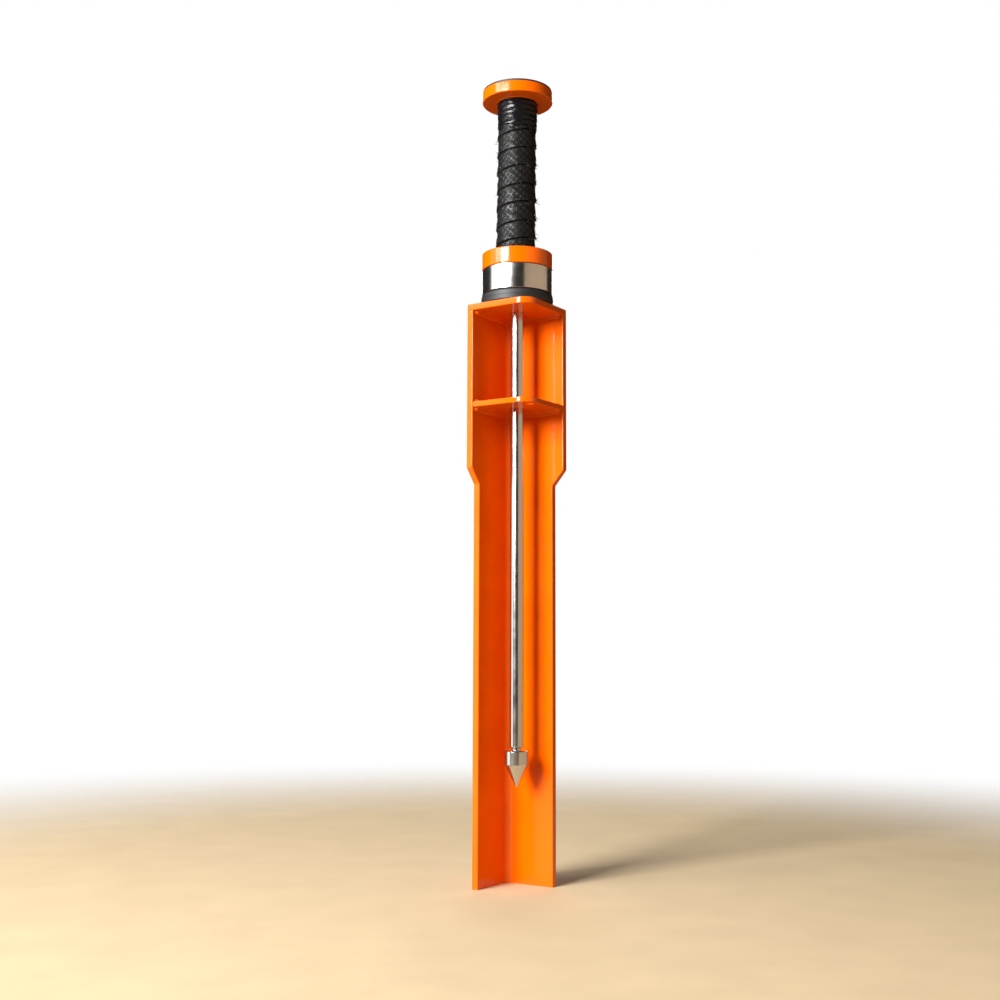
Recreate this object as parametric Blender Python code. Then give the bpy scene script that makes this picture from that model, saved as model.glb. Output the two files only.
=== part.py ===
"""Angle-section ground spike with a built-in slide hammer.

A rolled steel angle is driven into the ground by a hammer that can't be lost: its rod runs
through a top plate and a guide plate, and the cone on the rod's lower end stops it from
coming out. The origin is on the rod's axis at the ground line, +Z up. The angle's outer
corner is at -X +Y, so its open side faces +X -Y.
"""
import math

import bmesh
import bpy
from mathutils import Vector

MM = 0.001
GAP = 0.3 * MM              # clearance between pieces that touch or pass each other
ROUND_SIDES = 36            # sides of a turned piece
SMALL_SIDES = 24            # sides of a rod, bush, nut bore or screw
OUTLINE_STEPS = 6           # straight steps in a quarter turn of a flat outline
EDGE_STEPS = 3              # and of a turned piece's rounded edge
CUT_PAST = 10.0 * MM        # a cutter runs this far past what it cuts

# Rolled angle
LEG = 63.5 * MM             # leg width at the head
LEG_THICK = 6.0 * MM
ROOT_RADIUS = 6.5 * MM      # fillet inside the rolled corner
SHOULDER_STEP = 11.3 * MM   # each leg is this much narrower below the shoulder
HEIGHT_ABOVE_GROUND = 497.2 * MM
DEPTH_IN_GROUND = 112.8 * MM
SHOULDER_DROP = 138.5 * MM  # from the angle's top end to the shoulder
SHOULDER_TAPER = 13.5 * MM
POINT_LENGTH = 62.0 * MM
POINT_LAND = 1.5 * MM       # flat left on each leg at the point, past the root fillet
EDGE_ROUND = 0.7 * MM

# Plates across the angle
TOP_PLATE_THICK = 5.5 * MM
GUIDE_PLATE_THICK = 4.6 * MM
PLATE_PITCH = 87.0 * MM     # top face to top face
FREE_CORNER_RADIUS = 13.0 * MM
PLATE_EDGE_ROUND = 0.5 * MM
TETHER_HOLE_DIA = 10.0 * MM
TETHER_EDGE_X = 10.0 * MM   # hole's centre in from the plate's +X edge
TETHER_EDGE_Y = 14.5 * MM   # and from its -Y edge
WELD_LEG = 3.2 * MM
WELD_BULGE = 0.58           # face's middle, as a share of the leg: 0.5 is a flat face
WELD_END = 3.0 * MM         # bead stops this far short of the plate's free edge

# Rod, its bushes and its cone
ROD_DIA = 12.0 * MM
ROD_END_ROUND = 1.6 * MM
BUSH_WALL = 1.2 * MM
BUSH_FLANGE_WIDTH = 2.8 * MM
BUSH_FLANGE_THICK = 1.2 * MM
BUSH_LEDGE = 1.8 * MM       # plate left under the bush, which holds it when the cone knocks
ROD_DROP = 384.9 * MM       # from the top plate's upper face to the rod's lower shoulder
NECK_STEP = 2.0 * MM        # shoulder down to the threaded neck that the cone screws on
NECK_SHOWING = 1.8 * MM
NECK_IN_CONE = 9.0 * MM
CONE_DIA = 21.0 * MM
CONE_BODY = 12.8 * MM
CONE_POINT = 18.6 * MM
CONE_CHAMFER = 0.6 * MM
CONE_STEP = 0.6 * MM        # radial step where the cone starts
TIP_RADIUS = 0.4 * MM

# Hammer head
BUMPER_DIA = 63.8 * MM
BUMPER_THICK = 9.6 * MM
BUMPER_CLEARANCE = 5.0 * MM # round the bush's flange
BUMPER_ROUND = 2.0 * MM
COLLAR_DIA = 62.2 * MM
COLLAR_THICK = 22.0 * MM
COLLAR_ROUND = 0.5 * MM
WASHER_WIDTH = 5.7 * MM
WASHER_THICK = 1.5 * MM
NUT_WALL = 2.9 * MM         # from the bore to a flat
NUT_THICK = 5.4 * MM
SOCKET_ROOM = 0.5 * MM      # round the washer in the collar's recess
GUARD_DIA = 62.8 * MM
GUARD_THICK = 14.4 * MM
GUARD_ROUND = 0.9 * MM
TUBE_SEAT_GUARD = 3.0 * MM  # depth of the tube's seat in the guard ring

# Handle and end cap
GRIP_LENGTH = 139.1 * MM    # from the guard ring to the end cap's boss
TUBE_DIA = 30.0 * MM
TUBE_WALL = 5.0 * MM
GRIP_THICK = 1.5 * MM
TAPE_THICK = 1.2 * MM
TAPE_LENGTH = 26.0 * MM
CAP_DIA = 63.0 * MM
CAP_THICK = 9.7 * MM
CAP_ROUND = 0.9 * MM
CAP_BOSS_MARGIN = 0.9 * MM  # boss stands this far outside the finishing tape
CAP_BOSS_DROP = 0.6 * MM
TUBE_SEAT_CAP = 2.4 * MM    # depth of the tube's seat in the end cap
PAD_INSET = 0.7 * MM        # from the cap's rim
PAD_THICK = 1.4 * MM
PAD_ROUND = 0.4 * MM
SCREW_DIA = 6.0 * MM
SCREW_HEAD_DIA = 12.0 * MM
SCREW_REACH = 18.0 * MM     # thread inside the rod
SCREW_SOCKET_FLATS = 4.0 * MM
SCREW_SOCKET_DEPTH = 2.2 * MM

# Places that follow from the sizes
HALF = LEG / 2
INNER = HALF - LEG_THICK                                # the legs' inner faces
BLADE_LEG = LEG - SHOULDER_STEP
TOP_PLATE_LOW = HEIGHT_ABOVE_GROUND + GAP
TOP_PLATE_HIGH = TOP_PLATE_LOW + TOP_PLATE_THICK
GUIDE_PLATE_HIGH = TOP_PLATE_HIGH - PLATE_PITCH
GUIDE_PLATE_LOW = GUIDE_PLATE_HIGH - GUIDE_PLATE_THICK
ROD_RADIUS = ROD_DIA / 2
BUSH_BORE = ROD_RADIUS + GAP
BUSH_RADIUS = BUSH_BORE + BUSH_WALL
BUSH_FLANGE_RADIUS = BUSH_RADIUS + BUSH_FLANGE_WIDTH
NECK_RADIUS = ROD_RADIUS - NECK_STEP
ROD_LOW = TOP_PLATE_HIGH - ROD_DROP
CONE_HIGH = ROD_LOW - NECK_SHOWING
BUMPER_LOW = TOP_PLATE_HIGH + GAP
BUMPER_HIGH = BUMPER_LOW + BUMPER_THICK
COLLAR_LOW = BUMPER_HIGH + GAP
COLLAR_HIGH = COLLAR_LOW + COLLAR_THICK
NUT_LOW = COLLAR_LOW + GAP                              # recessed in the collar's underside
NUT_HIGH = NUT_LOW + NUT_THICK
WASHER_LOW = NUT_HIGH + GAP
WASHER_HIGH = WASHER_LOW + WASHER_THICK
WASHER_RADIUS = ROD_RADIUS + GAP + WASHER_WIDTH
GUARD_LOW = COLLAR_HIGH + GAP
GUARD_HIGH = GUARD_LOW + GUARD_THICK
BOSS_LOW = GUARD_HIGH + GRIP_LENGTH
CAP_LOW = BOSS_LOW + CAP_BOSS_DROP
CAP_HIGH = CAP_LOW + CAP_THICK
TUBE_LOW = GUARD_HIGH - TUBE_SEAT_GUARD + GAP
WEB_LOW = CAP_LOW + TUBE_SEAT_CAP                       # underside of the cap over the tube
TUBE_HIGH = WEB_LOW - GAP
GRIP_RADIUS = TUBE_DIA / 2 + GAP + GRIP_THICK
TAPE_RADIUS = GRIP_RADIUS + GAP + TAPE_THICK

ORANGE = (0.90, 0.13, 0.004)
BLACK = (0.012, 0.012, 0.013)
STEEL = (0.60, 0.59, 0.57)


def clear_scene():
    for item in list(bpy.data.objects):
        bpy.data.objects.remove(item, do_unlink=True)


def finish_piece(name, bm, colour, roughness, metallic):
    """Turn a bmesh into a named object with its own material."""
    bmesh.ops.remove_doubles(bm, verts=bm.verts, dist=1e-6)
    bmesh.ops.recalc_face_normals(bm, faces=bm.faces)
    mesh = bpy.data.meshes.new(name)
    bm.to_mesh(mesh)
    bm.free()
    mesh.shade_smooth()
    mesh.set_sharp_from_angle(angle=math.radians(35))
    material = bpy.data.materials.new(name)
    material.use_nodes = True
    shader = material.node_tree.nodes["Principled BSDF"]
    shader.inputs["Base Color"].default_value = (*colour, 1.0)
    shader.inputs["Roughness"].default_value = roughness
    shader.inputs["Metallic"].default_value = metallic
    mesh.materials.append(material)
    piece = bpy.data.objects.new(name, mesh)
    bpy.context.scene.collection.objects.link(piece)
    return piece


def painted(name, bm):
    return finish_piece(name, bm, ORANGE, 0.25, 0.0)


def polished(name, bm):
    return finish_piece(name, bm, STEEL, 0.15, 1.0)


def black(name, bm, roughness=0.6):
    return finish_piece(name, bm, BLACK, roughness, 0.0)


def rounded(corners, quarter_steps=OUTLINE_STEPS):
    """Outline through corners (a, b, radius), with an arc at each corner that has a radius."""
    outline = []
    for index, (a, b, radius) in enumerate(corners):
        here = Vector((a, b))
        if radius == 0:
            outline.append(here)
            continue
        before = Vector(corners[index - 1][:2]) - here
        after = Vector(corners[(index + 1) % len(corners)][:2]) - here
        opening = before.angle(after)
        reach = radius / math.tan(opening / 2)
        start = before.normalized() * reach
        end = after.normalized() * reach
        middle = (start + end).normalized() * (radius / math.sin(opening / 2))
        steps = max(2, round(quarter_steps * (math.pi - opening) / (math.pi / 2)))
        first = start - middle
        turn = first.angle_signed(end - middle)
        for step in range(steps + 1):
            angle = -turn * step / steps
            spoke = Vector((first.x * math.cos(angle) - first.y * math.sin(angle),
                            first.x * math.sin(angle) + first.y * math.cos(angle)))
            outline.append(here + middle + spoke)
    return outline


def turned(corners, sides=ROUND_SIDES, on_axis=False):
    """Spin an outline of (radius, height, corner radius) about Z.

    An outline that starts and ends on the axis is left open there; any other is a ring.
    """
    bm = bmesh.new()
    points = [bm.verts.new((r, 0.0, z)) for r, z in rounded(corners, EDGE_STEPS)]
    pairs = list(zip(points, points[1:]))
    if not on_axis:
        pairs.append((points[-1], points[0]))
    edges = [bm.edges.new(pair) for pair in pairs]
    bmesh.ops.spin(bm, geom=points + edges, cent=(0, 0, 0), axis=(0, 0, 1),
                   angle=2 * math.pi, steps=sides, use_merge=True)
    return bm


def ring(inner, outer, low, high, edge_round=0.0):
    """Corners of a plain ring, with its two outer edges rounded."""
    return [(inner, low, 0), (outer, low, edge_round), (outer, high, edge_round), (inner, high, 0)]


def lofted(rings):
    """Skin closed rings of points, which all have the same count, and cap both ends."""
    bm = bmesh.new()
    loops = [[bm.verts.new(point) for point in points] for points in rings]
    count = len(loops[0])
    for lower, upper in zip(loops, loops[1:]):
        for here in range(count):
            after = (here + 1) % count
            bm.faces.new((lower[here], lower[after], upper[after], upper[here]))
    bm.faces.new(loops[0])
    bm.faces.new(loops[-1])
    return bm


def extruded(outline, low, high):
    """Straight prism on an outline in XY."""
    return lofted([[(point.x, point.y, height) for point in outline] for height in (low, high)])


def round_edges(piece, width):
    bevel = piece.modifiers.new("edge_round", "BEVEL")
    bevel.width = width
    bevel.segments = 2
    bevel.limit_method = "ANGLE"
    bevel.angle_limit = math.radians(34)


def cut_round(piece, label, radius, x, y, low, high, sides=SMALL_SIDES):
    """Take a round or, with six sides, a hexagonal hole out of a piece."""
    bm = bmesh.new()
    bmesh.ops.create_cone(bm, cap_ends=True, segments=sides, radius1=radius, radius2=radius,
                          depth=high - low)
    mesh = bpy.data.meshes.new(label)
    bm.to_mesh(mesh)
    bm.free()
    cutter = bpy.data.objects.new(label, mesh)
    cutter.location = (x, y, (low + high) / 2)
    cutter.hide_render = True
    cutter.display_type = "WIRE"
    bpy.context.scene.collection.objects.link(cutter)
    cut = piece.modifiers.new(label, "BOOLEAN")
    cut.operation = "DIFFERENCE"
    cut.solver = "EXACT"
    cut.object = cutter


def bore_for_bush(plate, low, high):
    """Bore a plate for the rod, and wider above a ledge for the rod's bush."""
    label = plate.name
    cut_round(plate, label + "_bore", ROD_RADIUS + GAP, 0, 0, low - CUT_PAST, high + CUT_PAST)
    cut_round(plate, label + "_bush_seat", BUSH_RADIUS + GAP, 0, 0, low + BUSH_LEDGE,
              high + CUT_PAST)


def angle_section(leg):
    """Outline of the rolled angle where its legs are cut to this width."""
    near = leg - HALF
    return rounded([(-HALF, HALF, 0), (near, HALF, 0), (near, INNER, 0),
                    (-INNER, INNER, ROOT_RADIUS), (-INNER, -near, 0), (-HALF, -near, 0)])


def make_angle_blade():
    """The angle, full width at its head, narrower below the shoulder and cut to a point."""
    top = HEIGHT_ABOVE_GROUND
    point_leg = LEG_THICK + ROOT_RADIUS + POINT_LAND
    stations = [(-DEPTH_IN_GROUND, point_leg),
                (-DEPTH_IN_GROUND + POINT_LENGTH, BLADE_LEG),
                (top - SHOULDER_DROP - SHOULDER_TAPER, BLADE_LEG),
                (top - SHOULDER_DROP, LEG),
                (top, LEG)]
    rings = [[(p.x, p.y, height) for p in angle_section(leg)] for height, leg in stations]
    round_edges(painted("angle_blade", lofted(rings)), EDGE_ROUND)


def make_top_plate():
    """Square plate on the angle's end, flush with its legs, with one rounded free corner."""
    outline = rounded([(-HALF, HALF, 0), (HALF, HALF, 0), (HALF, -HALF, FREE_CORNER_RADIUS),
                       (-HALF, -HALF, 0)])
    plate = painted("top_plate", extruded(outline, TOP_PLATE_LOW, TOP_PLATE_HIGH))
    bore_for_bush(plate, TOP_PLATE_LOW, TOP_PLATE_HIGH)
    round_edges(plate, PLATE_EDGE_ROUND)


def make_guide_plate():
    """Plate between the legs, flush with their free edges, with the tether hole."""
    wall = INNER - GAP
    outline = rounded([(-wall, wall, ROOT_RADIUS - GAP), (HALF, wall, 0),
                       (HALF, -HALF, FREE_CORNER_RADIUS), (-wall, -HALF, 0)])
    plate = painted("guide_plate", extruded(outline, GUIDE_PLATE_LOW, GUIDE_PLATE_HIGH))
    bore_for_bush(plate, GUIDE_PLATE_LOW, GUIDE_PLATE_HIGH)
    cut_round(plate, "tether_hole", TETHER_HOLE_DIA / 2, HALF - TETHER_EDGE_X,
              TETHER_EDGE_Y - HALF, GUIDE_PLATE_LOW - CUT_PAST, GUIDE_PLATE_HIGH + CUT_PAST)
    round_edges(plate, PLATE_EDGE_ROUND)


def wall_path(distance):
    """Points at a distance from the legs' inner faces, from one leg's free edge to the other's."""
    wall = INNER - distance
    end = HALF - WELD_END
    return rounded([(-wall, -end, 0), (-wall, wall, ROOT_RADIUS - distance), (end, wall, 0)])


def make_weld(name, face, direction):
    """Fillet weld between both legs and a plate's face; direction is +1 above it, -1 below."""
    near = GAP
    far = GAP + WELD_LEG
    middle = GAP + WELD_LEG * WELD_BULGE
    section = [(near, near), (far, near), (middle, middle), (near, far)]
    paths = [[(p.x, p.y, face + direction * height) for p in wall_path(distance)]
             for distance, height in section]
    painted(name, lofted(list(zip(*paths))))


def make_bush(name, plate_low, plate_high):
    """Flanged nylon bush that the rod slides in, on its ledge and the plate's upper face."""
    flange_low = plate_high + GAP
    flange_high = flange_low + BUSH_FLANGE_THICK
    foot = plate_low + BUSH_LEDGE + GAP
    corners = [(BUSH_BORE, foot, 0), (BUSH_RADIUS, foot, 0), (BUSH_RADIUS, flange_low, 0),
               (BUSH_FLANGE_RADIUS, flange_low, 0), (BUSH_FLANGE_RADIUS, flange_high, 0),
               (BUSH_BORE, flange_high, 0)]
    black(name, turned(corners, SMALL_SIDES))


def make_guide_rod():
    """Rod from the cone to the end cap, with a threaded neck below and a tapped upper end."""
    high = WEB_LOW - GAP
    tap = SCREW_DIA / 2 + GAP
    tap_low = high - SCREW_REACH - GAP
    neck_low = CONE_HIGH - NECK_IN_CONE
    corners = [(0, neck_low, 0), (NECK_RADIUS, neck_low, 0), (NECK_RADIUS, ROD_LOW, 0),
               (ROD_RADIUS, ROD_LOW, ROD_END_ROUND), (ROD_RADIUS, high, 0), (tap, high, 0),
               (tap, tap_low, 0), (0, tap_low, 0)]
    polished("guide_rod", turned(corners, SMALL_SIDES, on_axis=True))


def make_cone_point():
    """Cone screwed on the rod's neck: its flat top is the hammer's upper stop."""
    radius = CONE_DIA / 2
    low = CONE_HIGH - CONE_BODY
    tip = low - CONE_POINT
    bore = NECK_RADIUS + GAP
    bore_low = CONE_HIGH - NECK_IN_CONE - GAP
    corners = [(0, tip, 0), (TIP_RADIUS, tip + TIP_RADIUS, 0), (radius - CONE_STEP, low, 0),
               (radius, low + CONE_STEP, 0), (radius, CONE_HIGH - CONE_CHAMFER, 0),
               (radius - CONE_CHAMFER, CONE_HIGH, 0), (bore, CONE_HIGH, 0),
               (bore, bore_low, 0), (0, bore_low, 0)]
    polished("cone_point", turned(corners, SMALL_SIDES, on_axis=True))


def make_bumper_ring():
    """Rubber ring that lands on the top plate; its bore clears the bush's flange."""
    bore = BUSH_FLANGE_RADIUS + BUMPER_CLEARANCE
    corners = ring(bore, BUMPER_DIA / 2, BUMPER_LOW, BUMPER_HIGH, BUMPER_ROUND)
    black("bumper_ring", turned(corners), 0.8)


def make_striker_collar():
    """Solid collar, bored for the rod and recessed below for the nut and washer."""
    bore = ROD_RADIUS + GAP
    recess = WASHER_RADIUS + SOCKET_ROOM
    floor = WASHER_HIGH + GAP
    corners = [(recess, COLLAR_LOW, 0), (COLLAR_DIA / 2, COLLAR_LOW, COLLAR_ROUND),
               (COLLAR_DIA / 2, COLLAR_HIGH, COLLAR_ROUND), (bore, COLLAR_HIGH, 0),
               (bore, floor, 0), (recess, floor, 0)]
    polished("striker_collar", turned(corners))


def make_collar_fasteners():
    """Washer and nut that clamp the collar up against the guard ring, tube and cap."""
    bore = ROD_RADIUS + GAP
    washer = ring(bore, WASHER_RADIUS, WASHER_LOW, WASHER_HIGH)
    polished("collar_washer", turned(washer, SMALL_SIDES))
    corner = (bore + NUT_WALL) / math.cos(math.pi / 6)
    hexagon = [Vector((corner * math.cos(side * math.pi / 3), corner * math.sin(side * math.pi / 3)))
               for side in range(6)]
    nut = polished("collar_nut", extruded(hexagon, NUT_LOW, NUT_HIGH))
    cut_round(nut, "collar_nut_bore", bore, 0, 0, NUT_LOW - CUT_PAST, NUT_HIGH + CUT_PAST)


def make_guard_ring():
    """Painted ring under the grip, bored for the rod and recessed for the tube."""
    seat = TUBE_DIA / 2 + GAP
    floor = GUARD_HIGH - TUBE_SEAT_GUARD
    corners = [(ROD_RADIUS + GAP, GUARD_LOW, 0), (GUARD_DIA / 2, GUARD_LOW, GUARD_ROUND),
               (GUARD_DIA / 2, GUARD_HIGH, GUARD_ROUND), (seat, GUARD_HIGH, 0),
               (seat, floor, 0), (ROD_RADIUS + GAP, floor, 0)]
    painted("guard_ring", turned(corners))


def make_handle():
    """Steel tube between guard ring and cap, and the wraps on it."""
    outer = TUBE_DIA / 2
    polished("handle_tube", turned(ring(outer - TUBE_WALL, outer, TUBE_LOW, TUBE_HIGH)))
    grip_low = GUARD_HIGH + GAP
    grip_high = BOSS_LOW - GAP
    black("overgrip", turned(ring(outer + GAP, GRIP_RADIUS, grip_low, grip_high)), 0.45)
    tape = ring(GRIP_RADIUS + GAP, TAPE_RADIUS, grip_high - TAPE_LENGTH, grip_high)
    black("finishing_tape", turned(tape), 0.3)


def make_end_cap():
    """Painted cap: tube seat and boss underneath, countersunk from the top for its screw."""
    radius = CAP_DIA / 2
    boss = TAPE_RADIUS + CAP_BOSS_MARGIN
    seat = TUBE_DIA / 2 + GAP
    shank = SCREW_DIA / 2 + GAP
    head = SCREW_HEAD_DIA / 2 + GAP
    sink = CAP_HIGH - (head - shank)
    corners = [(shank, WEB_LOW, 0), (seat, WEB_LOW, 0), (seat, BOSS_LOW, 0), (boss, BOSS_LOW, 0),
               (boss, CAP_LOW, 0), (radius, CAP_LOW, CAP_ROUND), (radius, CAP_HIGH, CAP_ROUND),
               (head, CAP_HIGH, 0), (shank, sink, 0)]
    painted("end_cap", turned(corners))


def make_cap_screw():
    """Countersunk socket screw through the cap into the rod."""
    shank = SCREW_DIA / 2
    head = SCREW_HEAD_DIA / 2
    head_low = CAP_HIGH - (head - shank)
    end = WEB_LOW - GAP - SCREW_REACH
    corners = [(0, end, 0), (shank, end, 0), (shank, head_low, 0), (head, CAP_HIGH, 0),
               (0, CAP_HIGH, 0)]
    screw = polished("cap_screw", turned(corners, SMALL_SIDES, on_axis=True))
    across = SCREW_SOCKET_FLATS / 2 / math.cos(math.pi / 6)
    cut_round(screw, "cap_screw_socket", across, 0, 0, CAP_HIGH - SCREW_SOCKET_DEPTH,
              CAP_HIGH + CUT_PAST, 6)


def make_cap_pad():
    low = CAP_HIGH + GAP
    high = low + PAD_THICK
    radius = CAP_DIA / 2 - PAD_INSET
    corners = [(0, low, 0), (radius, low, 0), (radius, high, PAD_ROUND), (0, high, 0)]
    black("cap_pad", turned(corners, on_axis=True), 0.7)


def main():
    clear_scene()
    make_angle_blade()
    make_top_plate()
    make_guide_plate()
    make_weld("top_plate_weld", TOP_PLATE_LOW, -1)
    make_weld("guide_plate_weld_upper", GUIDE_PLATE_HIGH, 1)
    make_weld("guide_plate_weld_lower", GUIDE_PLATE_LOW, -1)
    make_bush("top_plate_bush", TOP_PLATE_LOW, TOP_PLATE_HIGH)
    make_bush("guide_plate_bush", GUIDE_PLATE_LOW, GUIDE_PLATE_HIGH)
    make_guide_rod()
    make_cone_point()
    make_bumper_ring()
    make_striker_collar()
    make_collar_fasteners()
    make_guard_ring()
    make_handle()
    make_end_cap()
    make_cap_screw()
    make_cap_pad()


main()
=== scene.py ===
"""Looks of the slide hammer ground spike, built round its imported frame.

Every visible piece is a surface worked out with numpy: a profile turned about the rod's axis, an
outline carried along Z, a strip wound round the tube, or a bead or thread swept along a path.
"""
import math

import bmesh
import bpy
import numpy as np
from mathutils import Matrix, Vector


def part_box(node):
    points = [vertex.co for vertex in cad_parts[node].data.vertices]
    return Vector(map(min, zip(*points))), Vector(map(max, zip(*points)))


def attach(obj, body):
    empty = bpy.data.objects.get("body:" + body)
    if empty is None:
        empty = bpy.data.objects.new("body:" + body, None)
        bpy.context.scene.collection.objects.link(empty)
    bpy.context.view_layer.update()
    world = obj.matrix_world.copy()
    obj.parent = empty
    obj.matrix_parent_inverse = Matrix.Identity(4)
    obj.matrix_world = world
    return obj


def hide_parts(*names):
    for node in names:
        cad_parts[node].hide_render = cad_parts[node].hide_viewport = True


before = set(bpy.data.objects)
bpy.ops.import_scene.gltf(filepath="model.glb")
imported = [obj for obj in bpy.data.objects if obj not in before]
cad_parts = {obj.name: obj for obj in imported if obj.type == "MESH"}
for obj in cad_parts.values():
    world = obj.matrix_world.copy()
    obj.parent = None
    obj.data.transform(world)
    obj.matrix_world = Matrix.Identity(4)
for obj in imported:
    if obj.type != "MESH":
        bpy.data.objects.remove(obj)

bl_info = {
    "name": "Slide Hammer Ground Spike",
    "blender": (4, 5, 0),
    "version": (1, 0, 0),
    "location": "View3D > Sidebar > Ground Spike",
    "description": "Builds the painted spike, its slide hammer and a studio round them",
    "category": "Object",
}

MM = 0.001
TURN = 2 * math.pi
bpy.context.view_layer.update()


class Place:
    """Where a node of the frame is: its radius about the rod's axis, its foot and its head."""

    def __init__(self, node):
        self.low, self.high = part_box(node)
        self.radius = (self.high.x - self.low.x) / 2
        self.foot = self.low.z
        self.head = self.high.z


BLADE = Place("angle_blade")
TOP_PLATE = Place("top_plate")
GUIDE_PLATE = Place("guide_plate")
ROD = Place("guide_rod")
CONE = Place("cone_point")
BUMPER = Place("bumper_ring")
COLLAR = Place("striker_collar")
GUARD = Place("guard_ring")
GRIP = Place("overgrip")
TAPE = Place("finishing_tape")
CAP = Place("end_cap")
PAD = Place("cap_pad")
TUBE = Place("handle_tube")

HALF = TOP_PLATE.high.x                     # half the plate, and the legs' outer faces
SEAM = BUMPER.foot - TOP_PLATE.head         # clearance that the frame keeps between neighbours
INNER = -(GUIDE_PLATE.low.x - SEAM)         # the legs' inner faces


def millimetres(name, description, default, low=0.0, high=1000.0):
    """A length property shown and stored in metres, with its default given in millimetres."""
    return bpy.props.FloatProperty(name=name, description=description, default=default * MM,
                                   min=low * MM, max=high * MM, unit="LENGTH", precision=5)


def degrees(name, description, default):
    """An angle property with its default given in degrees."""
    return bpy.props.FloatProperty(name=name, description=description,
                                   default=math.radians(default), subtype="ANGLE")


def linear(value):
    """sRGB hex to linear red, green and blue."""
    channels = [int(value[place:place + 2], 16) / 255 for place in (1, 3, 5)]
    return [c / 12.92 if c <= 0.04045 else ((c + 0.055) / 1.055) ** 2.4 for c in channels]


def colour(name, description, value):
    return bpy.props.FloatVectorProperty(name=name, description=description, size=3, min=0, max=1,
                                         subtype="COLOR", default=linear(value))


# ---- settings

class SpikeSettings(bpy.types.PropertyGroup):
    """Sizes of the rolled angle, its plates and welds."""
    shoulder_step: millimetres("Shoulder Step", "How much each leg narrows at the shoulder", 11.3)
    shoulder_drop: millimetres("Shoulder Drop", "From the angle's end to the shoulder", 138.5)
    shoulder_taper: millimetres("Shoulder Taper", "Height of the sloping cut", 13.5)
    point_length: millimetres("Point Length", "Height of the pointed cut", 62.0)
    point_leg: millimetres("Point Leg", "Leg width left at the point", 14.0)
    root_radius: millimetres("Root Radius", "Fillet inside the rolled corner", 6.5)
    edge_radius: millimetres("Edge Radius", "Rounding of the cut edges under the paint", 0.8)
    plate_corner: millimetres("Plate Corner", "Radius of the plates' free corner", 13.0)
    plate_edge: millimetres("Plate Edge", "Rounding of the plates' edges", 0.6)
    tether_hole: millimetres("Tether Hole", "Radius of the hole in the guide plate", 5.0)
    tether_x: millimetres("Tether X", "Hole's centre in from the +X edge", 10.0)
    tether_y: millimetres("Tether Y", "Hole's centre in from the -Y edge", 14.5)
    bush_wall: millimetres("Bush Wall", "Wall of the nylon bushes", 1.2)
    weld_leg: millimetres("Weld Leg", "Leg of the fillet welds", 3.2)
    weld_ripple: millimetres("Weld Ripple", "Distance between the weld's ripples", 1.7)
    paint: colour("Paint", "Orange enamel", "#E76000")


class HammerSettings(bpy.types.PropertyGroup):
    """Sizes of the hammer head, its rod and its cap."""
    cap_round: millimetres("Cap Round", "Rounding of the cap's rims", 0.9)
    cap_boss: millimetres("Cap Boss", "Radius of the boss under the cap", 19.2)
    cap_boss_drop: millimetres("Boss Drop", "Height of the boss under the cap", 0.6)
    guard_round: millimetres("Guard Round", "Rounding of the guard ring's rims", 0.9)
    collar_round: millimetres("Collar Round", "Break on the collar's edges", 0.5)
    bumper_round: millimetres("Bumper Round", "Rounding of the rubber's rims", 2.0)
    rod_end: millimetres("Rod End", "Rounding of the rod's lower end", 1.6)
    neck_radius: millimetres("Neck Radius", "Radius of the threaded neck", 4.0)
    neck_showing: millimetres("Neck Showing", "Neck between the rod and the cone", 1.8)
    cone_body: millimetres("Cone Body", "Height of the cone's straight part", 12.8)
    steel: colour("Steel", "Polished steel", "#D2D1CE")
    rubber: colour("Rubber", "Black moulded rubber", "#161617")


class GripSettings(bpy.types.PropertyGroup):
    """Sizes of the strips wound round the handle."""
    pitch: millimetres("Pitch", "Rise of the overgrip strip in one turn", 16.6)
    wander: millimetres("Wander", "How far a seam strays from an even rise", 0.8)
    overlap: millimetres("Overlap", "Step where one turn lies on the next", 1.1)
    cell: millimetres("Cell", "Distance between the embossed dimples", 6.4)
    emboss: millimetres("Emboss", "Depth of the embossed dimples", 0.45)
    tape_pitch: millimetres("Tape Pitch", "Rise of the finishing tape in one turn", 4.6)
    fray_length: millimetres("Fray Length", "Longest loose thread", 5.0)
    fray_count: bpy.props.IntProperty(name="Fray Count", description="Loose threads on the grip",
                                      default=700, min=1, max=2000)
    strip: colour("Strip", "Black overgrip strip", "#1B1A1A")
    tape: colour("Tape", "Black finishing tape", "#0E0E0F")


class StudioSettings(bpy.types.PropertyGroup):
    """Camera and surroundings."""
    azimuth: degrees("Azimuth", "Camera's turn round the rod", 32.6)
    distance: millimetres("Distance", "Camera's distance from the rod's axis", 1154.5, high=9999)
    height: millimetres("Height", "Camera's height above the ground", 207.4)
    pitch: degrees("Pitch", "Camera's tilt above the level", 6.13)
    pan: degrees("Pan", "Camera's turn off the rod's axis", -0.73)
    roll: degrees("Roll", "Camera's roll", 0.17)
    lens: bpy.props.FloatProperty(name="Lens", description="Focal length on a 36 mm sensor",
                                  default=47.94, subtype="DISTANCE_CAMERA")
    lamp_reach: millimetres("Lamp Reach", "Lamps' distance from the rod's axis", 2200, high=9999)
    lamp_aim: millimetres("Lamp Aim", "Height that the lamps look at", 350)
    floor: colour("Floor", "Pale floor", "#CBB48E")
    floor_clear: millimetres("Floor Clear", "Radius where the floor starts to fade", 450)
    floor_edge: millimetres("Floor Edge", "Radius where the floor has faded out", 1250)


# ---- outlines

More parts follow.
